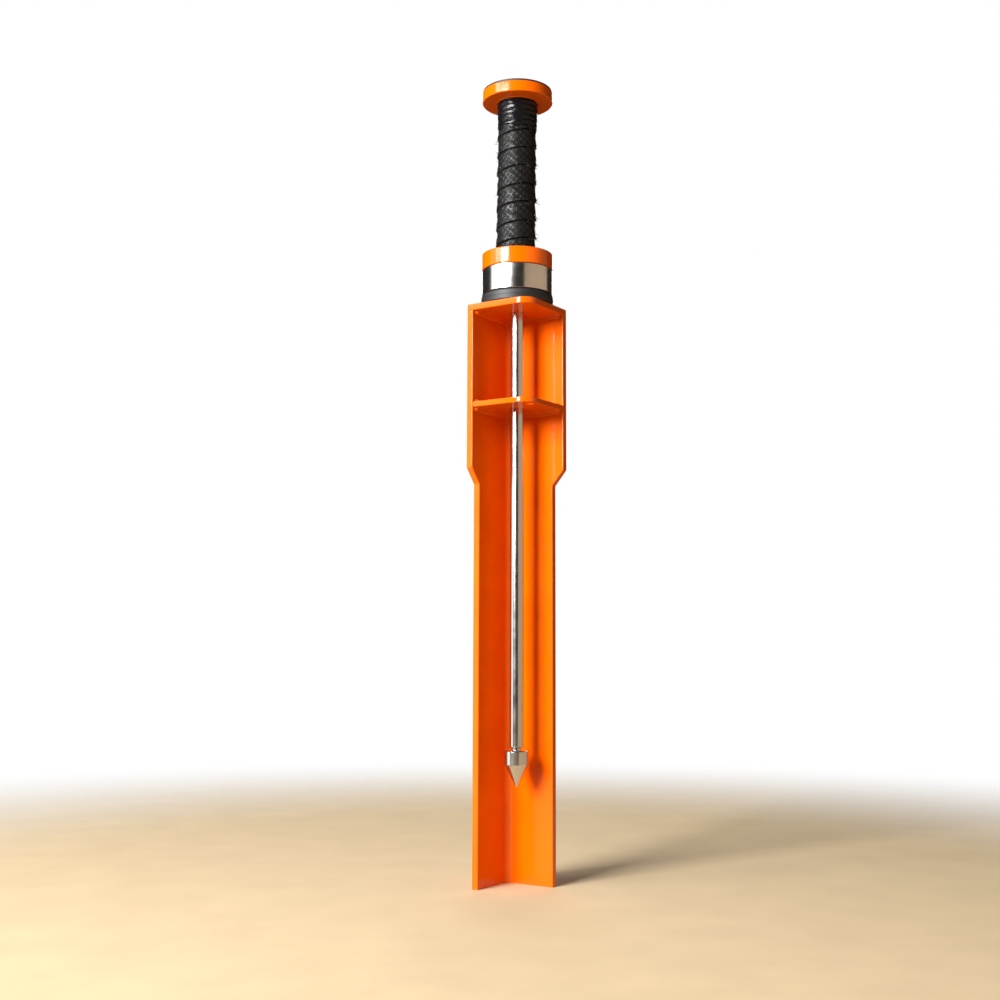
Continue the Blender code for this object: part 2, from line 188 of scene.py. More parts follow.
def rounded(corners, steps=5):
    """Closed outline through corners (a, b, radius).

    Each corner with a radius becomes an arc: its centre is on the corner's bisector, at
    radius / sin(half the opening), and it spans the angle between the two normals.
    """
    outline = []
    for index, (a, b, radius) in enumerate(corners):
        here = np.array([a, b], float)
        if radius == 0:
            outline.append(here)
            continue
        before = np.array(corners[index - 1][:2]) - here
        after = np.array(corners[(index + 1) % len(corners)][:2]) - here
        before /= np.linalg.norm(before)
        after /= np.linalg.norm(after)
        opening = math.acos(np.clip(before @ after, -1, 1))
        middle = here + (before + after) / np.linalg.norm(before + after) * (
            radius / math.sin(opening / 2))
        start = here + before * radius / math.tan(opening / 2) - middle
        sweep = math.pi - opening
        side = -math.copysign(1, before[0] * after[1] - before[1] * after[0])
        arc = side * np.linspace(0, sweep, steps + 1)
        spokes = np.stack([start[0] * np.cos(arc) - start[1] * np.sin(arc),
                           start[0] * np.sin(arc) + start[1] * np.cos(arc)], axis=1)
        outline.extend(middle + spokes)
    return np.array(outline)


def inset(outline, amount):
    """Move a closed outline inwards along its mitres by an amount."""
    ahead = np.roll(outline, -1, axis=0) - outline
    ahead /= np.linalg.norm(ahead, axis=1, keepdims=True)
    normal = np.stack([-ahead[:, 1], ahead[:, 0]], axis=1)
    area = np.sum(outline[:, 0] * np.roll(outline[:, 1], -1)
                  - outline[:, 1] * np.roll(outline[:, 0], -1))
    normal *= math.copysign(1, area)
    mitre = normal + np.roll(normal, 1, axis=0)
    mitre /= np.sum(mitre * normal, axis=1, keepdims=True)
    return outline + mitre * amount


# ---- meshes

def faces_of(rows, columns, wrap_rows, wrap_columns):
    """Quads between neighbours of a grid whose points are numbered row by row."""
    row = np.arange(rows if wrap_rows else rows - 1)
    column = np.arange(columns if wrap_columns else columns - 1)
    row, column = np.meshgrid(row, column, indexing="ij")
    up = (row + 1) % rows
    across = (column + 1) % columns
    corners = [row * columns + column, row * columns + across, up * columns + across,
               up * columns + column]
    return np.stack(corners, axis=-1).reshape(-1, 4)


def carried(name, points):
    """Closed rows of points joined by quads, with the first and last rows filled."""
    rows, columns = points.shape[:2]
    faces = faces_of(rows, columns, False, True).tolist()
    faces.append(list(range(columns)))
    faces.append(list(range((rows - 1) * columns, rows * columns)))
    return mesh_from(name, points, faces)


def mesh_from(name, points, faces):
    """Mesh from points and lists of corner numbers, merged at its poles and facing outwards."""
    mesh = bpy.data.meshes.new(name)
    mesh.from_pydata(points.reshape(-1, 3).tolist(), [], [list(face) for face in faces])
    bm = bmesh.new()
    bm.from_mesh(mesh)
    bmesh.ops.remove_doubles(bm, verts=bm.verts, dist=1e-7)
    bmesh.ops.dissolve_degenerate(bm, edges=bm.edges, dist=1e-7)
    bmesh.ops.recalc_face_normals(bm, faces=bm.faces)
    bm.to_mesh(mesh)
    bm.free()
    return mesh


def add_piece(name, mesh, material, body, stands_for=(), crease=38.0, weighted=True):
    """Put a finished mesh in the scene, on its body and for its nodes."""
    mesh.shade_smooth()
    mesh.set_sharp_from_angle(angle=math.radians(crease))
    mesh.materials.append(material)
    piece = bpy.data.objects.new(name, mesh)
    bpy.context.scene.collection.objects.link(piece)
    if weighted:
        # broad flat faces keep their own normal, so a rounded edge doesn't shade across them
        modifier = piece.modifiers.new("broad_faces", "WEIGHTED_NORMAL")
        modifier.keep_sharp = True
    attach(piece, body)
    if stands_for:
        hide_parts(*stands_for)
    return piece


def turned(name, profile, around, on_axis):
    """Surface of revolution: (r, z) becomes (r cos a, r sin a, z) for a from 0 to a full turn."""
    angle = np.arange(around) / around * TURN
    r, z = np.asarray(profile).T
    points = np.stack([r[:, None] * np.cos(angle), r[:, None] * np.sin(angle),
                       np.repeat(z[:, None], around, axis=1)], axis=-1)
    return mesh_from(name, points, faces_of(len(r), around, not on_axis, True))


def turn_piece(name, node, profile, maker, body, around=192, on_axis=False):
    """Turn a profile and add it as the piece that stands for one node."""
    add_piece(name, turned(name, profile, around, on_axis), once(maker), body, [node])


def soft_wall(outline, low, high, edge, inwards=1):
    """Rows of an outline from a plate's low face to its high one, with both edges a quarter
    circle: the row is inset by edge * (1 - sin t) where it has risen by edge * (1 - cos t)."""
    quarter = np.linspace(0, math.pi / 2, 5)
    into = edge * (1 - np.sin(quarter))
    rise = edge * (1 - np.cos(quarter))
    rows = [(into[step], low + rise[step]) for step in range(5)]
    rows += [(into[step], high - rise[step]) for step in reversed(range(5))]
    return [np.column_stack([inset(outline, inwards * depth), np.full(len(outline), height)])
            for depth, height in rows]


def slab(name, walls):
    """Flat plate bounded by walls, each a stack of closed rows from its low face to its high
    one: quads join the rows, and the two faces are filled between the walls' open rims."""
    points = np.concatenate([np.concatenate(wall) for wall in walls])
    starts = np.cumsum([0] + [len(wall) * len(wall[0]) for wall in walls])
    faces = np.concatenate([faces_of(len(wall), len(wall[0]), False, True) + start
                            for wall, start in zip(walls, starts)])
    mesh = bpy.data.meshes.new(name)
    mesh.from_pydata(points.tolist(), [], faces.tolist())
    bm = bmesh.new()
    bm.from_mesh(mesh)
    rims = [edge for edge in bm.edges if edge.is_boundary]
    middle = (points[:, 2].min() + points[:, 2].max()) / 2
    for upper in (False, True):
        edges = [edge for edge in rims if (edge.verts[0].co.z > middle) == upper]
        bmesh.ops.triangle_fill(bm, use_beauty=True, use_dissolve=False, edges=edges)
    bmesh.ops.recalc_face_normals(bm, faces=bm.faces)
    bm.to_mesh(mesh)
    bm.free()
    return mesh


def circle(x, y, radius, steps=48):
    """Points (x + r cos a, y + r sin a) for a round a full turn."""
    angle = np.arange(steps) / steps * TURN
    return np.stack([x + radius * np.cos(angle), y + radius * np.sin(angle)], axis=1)


# ---- materials

def rgba(value):
    """Colour property or hex string as four linear numbers."""
    return (*(linear(value) if isinstance(value, str) else value), 1.0)


def add(tree, kind, links=None, values=None, stops=(), out=0, **settings):
    """Add a node, set its settings, the values of its inputs and the (position, colour) stops of
    its ramp, link sockets into it and give one of its outputs."""
    node = tree.nodes.new("ShaderNode" + kind)
    for key, setting in settings.items():
        setattr(node, key, setting)
    for key, value in (values or {}).items():
        node.inputs[key].default_value = value
    for key, socket in (links or {}).items():
        tree.links.new(socket, node.inputs[key])
    for index, (position, value) in enumerate(stops):
        node.color_ramp.elements[index].position = position
        node.color_ramp.elements[index].color = rgba(value)
    return node.outputs[out] if node.outputs else None


def new_material(name):
    """Material with an empty node tree."""
    material = bpy.data.materials.new(name)
    material.use_nodes = True
    material.node_tree.nodes.clear()
    return material, material.node_tree


def surfaced(material, links, values):
    """Close a material with a Principled shader that has these links and values."""
    shader = add(material.node_tree, "BsdfPrincipled", links, values)
    add(material.node_tree, "OutputMaterial", {"Surface": shader})
    return material


def per_mm(size_mm):
    """Noise scale whose features are about this many millimetres across."""
    return 1000.0 / size_mm


def sprayed_enamel():
    """Two-pack orange enamel sprayed on steel: deep gloss with a clear top layer, a faint orange
    peel about 2.5 mm across and a slightly thinner, redder coat in patches."""
    material, tree = new_material("sprayed_orange_enamel")
    where = add(tree, "TexCoord", out="Object")
    cloud = add(tree, "TexNoise", {"Vector": where}, {"Scale": per_mm(45), "Detail": 3.0})
    paint = bpy.context.scene.ground_spike.paint
    deeper = [channel * share for channel, share in zip(paint, (0.93, 0.86, 1.0))]
    tint = add(tree, "ValToRGB", {"Fac": cloud}, stops=[(0.35, deeper), (0.7, paint)])
    peel = add(tree, "TexNoise", {"Vector": where}, {"Scale": per_mm(2.5), "Detail": 1.0})
    bump = add(tree, "Bump", {"Height": peel}, {"Strength": 0.05, "Distance": 0.0004})
    haze = add(tree, "TexNoise", {"Vector": where}, {"Scale": per_mm(18), "Detail": 4.0})
    dull = add(tree, "MapRange", {"Value": haze},
               {"From Min": 0.3, "From Max": 0.75, "To Min": 0.11, "To Max": 0.19})
    return surfaced(material, {"Base Color": tint, "Roughness": dull, "Normal": bump},
                    {"IOR": 1.32, "Coat Weight": 0.15, "Coat Roughness": 0.05})


def polished_steel():
    """Turned and polished steel: near mirror, with faint rings about 0.4 mm apart left by the
    polishing belt and softer, slightly hazy patches from handling."""
    material, tree = new_material("belt_polished_steel")
    where = add(tree, "TexCoord", out="Object")
    squash = add(tree, "Mapping", {"Vector": where}, {"Scale": (20.0, 20.0, per_mm(0.4))})
    rings = add(tree, "TexNoise", {"Vector": squash}, {"Scale": 1.0, "Detail": 3.0})
    bump = add(tree, "Bump", {"Height": rings}, {"Strength": 0.03, "Distance": 0.0001})
    haze = add(tree, "TexNoise", {"Vector": where}, {"Scale": per_mm(12), "Detail": 4.0})
    dull = add(tree, "MapRange", {"Value": haze},
               {"From Min": 0.3, "From Max": 0.7, "To Min": 0.15, "To Max": 0.22})
    return surfaced(material, {"Roughness": dull, "Normal": bump},
                    {"Base Color": rgba(bpy.context.scene.spike_hammer.steel), "Metallic": 1.0})


def plain_metal(name, tint, smooth, rough, grain_mm):
    """Metal whose roughness varies between two values in a grain of that size."""
    material, tree = new_material(name)
    where = add(tree, "TexCoord", out="Object")
    grain = add(tree, "TexNoise", {"Vector": where}, {"Scale": per_mm(grain_mm), "Detail": 5.0})
    dull = add(tree, "MapRange", {"Value": grain},
               {"From Min": 0.3, "From Max": 0.7, "To Min": smooth, "To Max": rough})
    return surfaced(material, {"Roughness": dull}, {"Base Color": rgba(tint), "Metallic": 1.0})


def zinc_plate():
    """Zinc plated steel: bluish grey with a spangle about 1.5 mm across."""
    return plain_metal("zinc_plated_steel", "#A9ADB0", 0.25, 0.45, 1.5)


def drawn_tube():
    """Bare drawn tube: grey steel with a dull drawn skin."""
    return plain_metal("drawn_steel_tube", "#8B8883", 0.35, 0.55, 4.0)


def black_rubber(name, value, grain_mm, roughness):
    """Black rubber: dull, with a fine stipple off its mould or press and a grey bloom."""
    material, tree = new_material(name)
    where = add(tree, "TexCoord", out="Object")
    bloom = add(tree, "TexNoise", {"Vector": where}, {"Scale": per_mm(14), "Detail": 5.0})
    lighter = [channel * 1.9 + 0.002 for channel in value]
    tint = add(tree, "ValToRGB", {"Fac": bloom}, stops=[(0.4, value), (0.8, lighter)])
    stipple = add(tree, "TexNoise", {"Vector": where}, {"Scale": per_mm(grain_mm), "Detail": 2.0})
    bump = add(tree, "Bump", {"Height": stipple}, {"Strength": 0.25, "Distance": 0.0002})
    return surfaced(material, {"Base Color": tint, "Normal": bump},
                    {"Roughness": roughness, "IOR": 1.52})


def bumper_rubber():
    """Moulded rubber of the bumper, with a stipple about 0.9 mm across."""
    rubber = bpy.context.scene.spike_hammer.rubber
    return black_rubber("moulded_black_rubber", rubber, 0.9, 0.55)


def pad_rubber():
    """Cut sheet rubber of the cap's pad: finer and duller, a little bluer."""
    return black_rubber("cut_sheet_rubber", linear("#15171C"), 0.6, 0.6)


def nylon():
    """Turned black nylon: satin, slightly waxy, with tool rings about 0.5 mm apart."""
    material, tree = new_material("turned_black_nylon")
    where = add(tree, "TexCoord", out="Object")
    squash = add(tree, "Mapping", {"Vector": where}, {"Scale": (30.0, 30.0, per_mm(0.5))})
    rings = add(tree, "TexNoise", {"Vector": squash}, {"Scale": 1.0})
    bump = add(tree, "Bump", {"Height": rings}, {"Strength": 0.2, "Distance": 0.0001})
    return surfaced(material, {"Normal": bump},
                    {"Base Color": rgba("#141414"), "Roughness": 0.38, "IOR": 1.53})


def embossed_overgrip():
    """Polyurethane overgrip: tacky black film pressed with round dimples. Its lattice of high spots is
    coloured a lighter grey, partly real wear and partly a painted sheen, and is glossier there,
    while the dimples keep the film's black and the seams are dark grooves in the shape."""
    material, tree = new_material("embossed_overgrip")
    relief = add(tree, "Attribute", out="Fac", attribute_name="relief")
    high = add(tree, "MapRange", {"Value": relief},
               {"From Min": -0.8, "From Max": -0.1, "To Min": 0.0, "To Max": 1.0})
    where = add(tree, "TexCoord", out="Object")
    dust = add(tree, "TexNoise", {"Vector": where}, {"Scale": per_mm(9), "Detail": 6.0})
    wear_and_sheen = add(tree, "Math", {0: high, 1: dust}, operation="MULTIPLY")
    base = [0.4 * channel for channel in bpy.context.scene.spike_grip.strip]
    # lighter grey on the raised lattice: partly real wear, partly a painted sheen that stands in for the
    # light on the high spots
    grey = [channel + 0.007 for channel in base]
    tint = add(tree, "ValToRGB", {"Fac": wear_and_sheen}, stops=[(0.12, base), (0.75, grey)])
    grain = add(tree, "TexNoise", {"Vector": where}, {"Scale": per_mm(0.9), "Detail": 4.0})
    bump = add(tree, "Bump", {"Height": grain}, {"Strength": 0.5, "Distance": 0.0004})
    gloss = add(tree, "MapRange", {"Value": wear_and_sheen},
                {"From Min": 0.1, "From Max": 0.7, "To Min": 0.6, "To Max": 0.26})
    return surfaced(material, {"Base Color": tint, "Roughness": gloss, "Normal": bump}, {"IOR": 1.3})


def finishing_tape():
    """Stretched PVC finishing tape: thin, black and glossy, with fine wrinkles along its pull."""
    material, tree = new_material("stretched_pvc_tape")
    strip = add(tree, "UVMap", uv_map="strip")
    pulled = add(tree, "Mapping", {"Vector": strip}, {"Scale": (per_mm(9), per_mm(0.8), 1.0)})
    wrinkle = add(tree, "TexNoise", {"Vector": pulled}, {"Scale": 1.0, "Detail": 4.0})
    bump = add(tree, "Bump", {"Height": wrinkle}, {"Strength": 0.12, "Distance": 0.0002})
    return surfaced(material, {"Normal": bump},
                    {"Base Color": rgba(bpy.context.scene.spike_grip.tape), "Roughness": 0.2,
                     "IOR": 1.3})


def frayed_thread():
    """Black polyester thread: soft, a little lighter than the grip."""
    material, tree = new_material("frayed_polyester_thread")
    where = add(tree, "TexCoord", out="Object")
    fleck = add(tree, "TexNoise", {"Vector": where}, {"Scale": per_mm(2.0), "Detail": 2.0})
    tint = add(tree, "ValToRGB", {"Fac": fleck}, stops=[(0.35, "#0C0C0C"), (0.8, "#2E2C2B")])
    return surfaced(material, {"Base Color": tint}, {"Roughness": 0.6})


MADE = {}


def once(maker):
    """The material of this maker, made the first time it is asked for."""
    if maker not in MADE:
        MADE[maker] = maker()
    return MADE[maker]


# ---- spike

def angle_outline(leg, settings):
    """Section of the rolled angle with legs cut to this width, every edge rounded."""
    near = leg - HALF
    soft = settings.edge_radius
    return rounded([(-HALF, HALF, soft), (near, HALF, soft), (near, INNER, soft),
                    (-INNER, INNER, settings.root_radius), (-INNER, -near, soft),
                    (-HALF, -near, soft)], steps=8)


class SPIKE_OT_blade(bpy.types.Operator):
    """Angle section: its outline is carried along Z while the leg width follows a profile"""
    bl_idname = "ground_spike.blade"
    bl_label = "Angle Blade"

    def execute(self, context):
        settings = context.scene.ground_spike
        wide = BLADE.high.x + HALF
        narrow = wide - settings.shoulder_step
        shoulder = BLADE.head - settings.shoulder_drop
        kink = 3.0 * MM
        widths = rounded([(settings.point_leg, BLADE.foot, 0),
                          (narrow, BLADE.foot + settings.point_length, kink),
                          (narrow, shoulder - settings.shoulder_taper, kink),
                          (wide, shoulder, kink), (wide, TOP_PLATE.foot, 0)])
        sections = np.array([angle_outline(leg, settings) for leg, _ in widths])
        heights = np.broadcast_to(widths[:, 1][:, None, None], sections.shape[:2] + (1,))
        points = np.concatenate([sections, heights], axis=-1)
        add_piece("angle_section", carried("angle_section", points), once(sprayed_enamel),
                  "spike", ["angle_blade"])
        return {"FINISHED"}


class SPIKE_OT_plates(bpy.types.Operator):
    """Top plate and guide plate: slabs with rounded edges, bored for the rod"""
    bl_idname = "ground_spike.plates"
    bl_label = "Plates"

    def execute(self, context):
        settings = context.scene.ground_spike
        soft = settings.edge_radius
        square = [(-HALF, HALF, soft), (HALF, HALF, soft),
                  (HALF, -HALF, settings.plate_corner), (-HALF, -HALF, soft)]
        between = [(-INNER, INNER, settings.root_radius), (HALF, INNER, soft),
                   (HALF, -HALF, settings.plate_corner), (-INNER, -HALF, soft)]
        plates = (("square_top_plate", "top_plate", TOP_PLATE, square),
                  ("rod_guide_plate", "guide_plate", GUIDE_PLATE, between))
        for name, node, plate, corners in plates:
            walls = [soft_wall(rounded(corners, 14), plate.foot, plate.head, settings.plate_edge),
                     self.bore(plate, Place(node + "_bush"), settings.bush_wall)]
            if node == "guide_plate":
                tether = circle(HALF - settings.tether_x, settings.tether_y - HALF,
                                settings.tether_hole)
                walls.append(soft_wall(tether, plate.foot, plate.head, settings.plate_edge, -1))
            add_piece(name, slab(name, walls), once(sprayed_enamel), "spike",
                      [node])
        return {"FINISHED"}

    def bore(self, plate, bush, bush_wall):
        """Rows of the stepped bore: the rod's clearance, a ledge, then the bush's seat."""
        close = ROD.radius + SEAM
        seat = close + bush_wall + SEAM
        ledge = bush.foot - SEAM
        break_edge = 0.25 * MM
        rows = [(close + break_edge, plate.foot), (close, plate.foot + break_edge),
                (close, ledge), (seat, ledge), (seat, plate.head)]
        return [np.column_stack([circle(0, 0, radius), np.full(48, height)])
                for radius, height in rows]


def weld_bead(name, face, direction, settings):
    """Fillet weld swept along both legs' inner faces, as far from each face as its section says.

    The section is a quarter round of the leg's size; its reach swells and sinks by a cosine of
    the distance along the bead, which lags towards the middle, so the ripples are crescents.
    """
    stop = HALF - 3.0 * MM
    straight = stop + INNER - settings.root_radius
    arc = settings.root_radius * math.pi / 2
    count = 260
    along = np.linspace(0, 2 * straight + arc, count)
    section = np.linspace(0, math.pi / 2, 9)
    lag = 0.9 * MM * np.sin(2 * section)
    wave = np.cos((along[:, None] - lag) / settings.weld_ripple * TURN)
    taper = np.sqrt(np.clip(np.minimum(along, along[-1] - along) / (2.0 * MM), 0.04, 1))
    reach = settings.weld_leg * (1 + 0.035 * wave) * taper[:, None]
    wander = 1 + 0.05 * np.sin(along / (11 * MM)) + 0.03 * np.sin(along / (4.3 * MM))
    reach = reach * wander[:, None] * (0.80 + 0.20 * np.cos(4 * (section - math.pi / 4)) ** 2)
    out = np.concatenate([np.zeros((count, 1)), reach * np.cos(section)], axis=1)
    rise = np.concatenate([np.zeros((count, 1)), reach * np.sin(section)], axis=1)
    first = along[:, None] < straight
    last = along[:, None] > straight + arc
    bend = np.clip((along[:, None] - straight) / arc, 0, 1) * math.pi / 2
    radius = settings.root_radius - out
    centre = INNER - settings.root_radius
    x = np.where(last, -centre + along[:, None] - straight - arc, -centre - radius * np.cos(bend))
    y = np.where(first, along[:, None] - stop, centre + radius * np.sin(bend))
    x = np.where(first, -INNER + out, x)
    y = np.where(last, INNER - out, y)
    return carried(name, np.stack([x, y, face + direction * rise], axis=-1))


class SPIKE_OT_welds(bpy.types.Operator):
    """Rippled fillet welds under the top plate and on both sides of the guide plate"""
    bl_idname = "ground_spike.welds"
    bl_label = "Welds"

    def execute(self, context):
        settings = context.scene.ground_spike
        beads = [("weld_under_top_plate", TOP_PLATE.foot, -1, "top_plate_weld"),
                 ("weld_above_guide_plate", GUIDE_PLATE.head, 1, "guide_plate_weld_upper"),
                 ("weld_below_guide_plate", GUIDE_PLATE.foot, -1, "guide_plate_weld_lower")]
        for name, face, direction, node in beads:
            mesh = weld_bead(name, face, direction, settings)
            add_piece(name, mesh, once(sprayed_enamel), "spike", [node],
                      crease=70, weighted=False)
        return {"FINISHED"}


class SPIKE_OT_bushes(bpy.types.Operator):
    """Flanged nylon bushes, turned about the rod"""
    bl_idname = "ground_spike.bushes"
    bl_label = "Bushes"

    def execute(self, context):
        bore = ROD.radius + SEAM
        sleeve = bore + context.scene.ground_spike.bush_wall
        for node, plate in (("top_plate_bush", TOP_PLATE), ("guide_plate_bush", GUIDE_PLATE)):
            bush = Place(node)
            shoulder = plate.head + SEAM
            soft = 0.3 * MM
            profile = rounded([(bore, bush.foot, soft), (sleeve, bush.foot, soft),
                               (sleeve, shoulder, 0), (bush.radius, shoulder, 0),
                               (bush.radius, bush.head, soft), (bore, bush.head, soft)])
            name = node.replace("plate_bush", "nylon_bush")
            turn_piece(name, node, profile, nylon, "spike", 96)
        return {"FINISHED"}


# ---- hammer

class SPIKE_OT_rod(bpy.types.Operator):
    """Polished rod with a rounded end and neck, and its cone"""
    bl_idname = "ground_spike.rod"
    bl_label = "Rod and Cone"

    def execute(self, context):
        settings = context.scene.spike_hammer
        rod = ROD.radius
        neck = settings.neck_radius
        shoulder = CONE.head + settings.neck_showing
        profile = rounded([(0, ROD.foot, 0), (neck, ROD.foot, 0.4 * MM), (neck, shoulder, 0),
                           (rod, shoulder, settings.rod_end), (rod, ROD.head, 0.4 * MM),
                           (0, ROD.head, 0)])
        turn_piece("polished_rod", "guide_rod", profile, polished_steel, "hammer",
                   96, True)
        radius = CONE.radius
        base = CONE.head - settings.cone_body
        bore = neck + SEAM
        pocket = ROD.foot - SEAM
        profile = rounded([(0, CONE.foot, 0), (0.45 * MM, CONE.foot + 0.3 * MM, 0.2 * MM),
                           (radius - 0.8 * MM, base, 0), (radius, base + 0.8 * MM, 0.2 * MM),
                           (radius, CONE.head - 0.8 * MM, 0.2 * MM),
                           (radius - 0.8 * MM, CONE.head, 0.2 * MM),
                           (bore, CONE.head, 0.2 * MM), (bore, pocket, 0), (0, pocket, 0)])
        turn_piece("turned_cone", "cone_point", profile, polished_steel, "hammer",
                   128, True)
        return {"FINISHED"}


class SPIKE_OT_bumper(bpy.types.Operator):
    """Rubber bumper ring, slightly bulged, with a mould line round its middle"""
    bl_idname = "ground_spike.bumper"
    bl_label = "Bumper Ring"

    def execute(self, context):
        soft = context.scene.spike_hammer.bumper_round
        bore = Place("top_plate_bush").radius + 5.0 * MM
        rim = BUMPER.radius
        middle = (BUMPER.foot + BUMPER.head) / 2
        line = 0.15 * MM
        profile = rounded([(bore, BUMPER.foot, 0.5 * MM), (rim - 0.5 * MM, BUMPER.foot, soft / 2),
                           (rim - 0.2 * MM, middle - 2 * line, 0), (rim, middle - line, 0),
                           (rim, middle + line, 0), (rim - 0.2 * MM, middle + 2 * line, 0),
                           (rim - 0.5 * MM, BUMPER.head, soft), (bore, BUMPER.head, 0.5 * MM)])
        turn_piece("rubber_bumper", "bumper_ring", profile, bumper_rubber, "bumper",
                   160)
        return {"FINISHED"}


class SPIKE_OT_head(bpy.types.Operator):
    """Polished striker collar and painted guard ring"""
    bl_idname = "ground_spike.head"
    bl_label = "Collar and Guard Ring"

    def execute(self, context):
        settings = context.scene.spike_hammer
        bore = ROD.radius + SEAM
        washer = Place("collar_washer")
        recess = washer.radius + 0.5 * MM
        floor = washer.head + SEAM
        soft = settings.collar_round
        profile = rounded([(recess, COLLAR.foot, soft), (COLLAR.radius, COLLAR.foot, soft),
                           (COLLAR.radius, COLLAR.head, soft), (bore, COLLAR.head, soft),
                           (bore, floor, 0), (recess, floor, 0)])
        turn_piece("polished_collar", "striker_collar", profile, polished_steel, "hammer")
        soft = settings.guard_round
        seat = TUBE.radius + SEAM
        floor = TUBE.foot - SEAM
        profile = rounded([(bore, GUARD.foot, soft), (GUARD.radius, GUARD.foot, soft),
                           (GUARD.radius, GUARD.head, soft), (seat, GUARD.head, 0),
                           (seat, floor, 0), (bore, floor, 0)])
        turn_piece("painted_guard_ring", "guard_ring", profile, sprayed_enamel, "hammer")
        return {"FINISHED"}


class SPIKE_OT_cap(bpy.types.Operator):
    """Painted end cap with its boss, and the rubber pad on it"""
    bl_idname = "ground_spike.cap"
    bl_label = "End Cap"

    def execute(self, context):
        settings = context.scene.spike_hammer
        screw = Place("cap_screw")
        soft = settings.cap_round
        underside = CAP.foot + settings.cap_boss_drop
        web = TUBE.head + SEAM
        shank = 3.0 * MM + SEAM
        head = screw.radius + SEAM
        profile = rounded([(shank, web, 0), (TUBE.radius + SEAM, web, 0),
                           (TUBE.radius + SEAM, CAP.foot, 0),
                           (settings.cap_boss, CAP.foot, 0.3 * MM),
                           (settings.cap_boss, underside, 0.2 * MM), (CAP.radius, underside, soft),
                           (CAP.radius, CAP.head, soft), (head, CAP.head, 0),
                           (shank, CAP.head - (head - shank), 0)])
        turn_piece("painted_end_cap", "end_cap", profile, sprayed_enamel, "hammer")
        profile = rounded([(0, CAP.head, 0), (PAD.radius, CAP.head, 0.3 * MM),
                           (PAD.radius, PAD.head, 0.5 * MM), (0, PAD.head, 0)])
        turn_piece("rubber_cap_pad", "cap_pad", profile, pad_rubber, "hammer",
                   160, True)
        return {"FINISHED"}


class SPIKE_OT_hidden(bpy.types.Operator):
    """Finishes of the pieces inside: tube, screw, nut and washer keep their CAD shape"""
    bl_idname = "ground_spike.hidden"
    bl_label = "Inner Pieces"

    def execute(self, context):
        finishes = {"handle_tube": drawn_tube, "cap_screw": zinc_plate,
                    "collar_nut": zinc_plate, "collar_washer": zinc_plate}
        for name, maker in finishes.items():
            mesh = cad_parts[name].data
            mesh.materials.clear()
            mesh.materials.append(once(maker))
        return {"FINISHED"}


# ---- grip

def smooth_noise(u, v, seed, terms=14):
    """Sum of sines in an angle u and a height v, the same each run: whole waves round the turn."""
    random = np.random.default_rng(seed)
    total = np.zeros(np.broadcast(u, v).shape)
    for _ in range(terms):
        around = random.integers(0, 9)
        rise = random.uniform(60, 900)
        phase = random.uniform(0, TURN)
        total += np.sin(around * u + rise * v + phase) / math.sqrt(terms)
    return total


def seam_height(place, pitch, wander, whole):
    """Height of a winding's seam at its whole angle a: foot + pitch * (a / 2 pi - 0.2), straying
    by two sines of a that don't repeat from turn to turn."""
    stray = np.sin(0.41 * whole + 0.5) + 0.6 * np.sin(0.23 * whole + 2.0)
    return place.foot + pitch * (whole / TURN - 0.2) + wander * stray / 2


def strip_grid(place, pitch, wander, rows, around):
    """Grid over a winding: angle, height, share of the way down from the seam above to the seam
    below, and metres along the strip."""
    angle = np.arange(around + 1) / around * TURN
    z = np.linspace(place.foot, place.head, rows)
    turns = np.arange(-2, math.ceil((place.head - place.foot) / pitch) + 2)
    edge = seam_height(place, pitch, wander, angle[None, :] + TURN * turns[:, None])
    below = np.sum(edge[:, None, :] <= z[None, :, None], axis=0) - 1
    column = np.broadcast_to(np.arange(around + 1), below.shape)
    low = edge[below, column]
    high = edge[below + 1, column]
    height = np.broadcast_to(z[:, None], below.shape)
    share = (high - height) / (high - low)
    along = (below * TURN + angle[None, :]) * place.radius
    return np.broadcast_to(angle[None, :], below.shape), height, share, along


def wound_strip(name, radius, grid, inner, emboss):
    """Strip wound round Z as one height field: a grid point is (r cos a, r sin a, z), and a bore
    of the inner radius closes it. The emboss value of each point is kept as an attribute, and
    the strip map holds metres along the strip and down from its seam."""
    angle, height, share, along = grid
    rows = radius.shape[0]
    around = radius.shape[1] - 1
    shell = np.stack([radius * np.cos(angle), radius * np.sin(angle), height], axis=-1)[:, :-1]
    bore = np.stack([inner * np.cos(angle), inner * np.sin(angle), height], axis=-1)[[-1, 0], :-1]
    points = np.concatenate([shell, bore]).reshape(-1, 3)
    faces = faces_of(rows + 2, around, True, True)
    mesh = bpy.data.meshes.new(name)
    mesh.from_pydata(points.tolist(), [], faces.tolist())
    down = share * (height.max() - height.min())
    coordinates = np.stack([along, down], axis=-1)
    coordinates = np.concatenate([coordinates, coordinates[[-1, 0]]])
    row = faces // around
    column = faces % around
    column[:, 1:3] = np.where(column[:, 1:3] == 0, around, column[:, 1:3])
    mesh.uv_layers.new(name="strip").data.foreach_set("uv", coordinates[row, column].ravel())
    relief = np.concatenate([emboss[:, :-1], np.zeros((2, around))])
    mesh.attributes.new("relief", "FLOAT", "POINT").data.foreach_set("value", relief.ravel())
    if sum(polygon.normal.dot(polygon.center) for polygon in mesh.polygons[:around]) < 0:
        mesh.flip_normals()
    return mesh


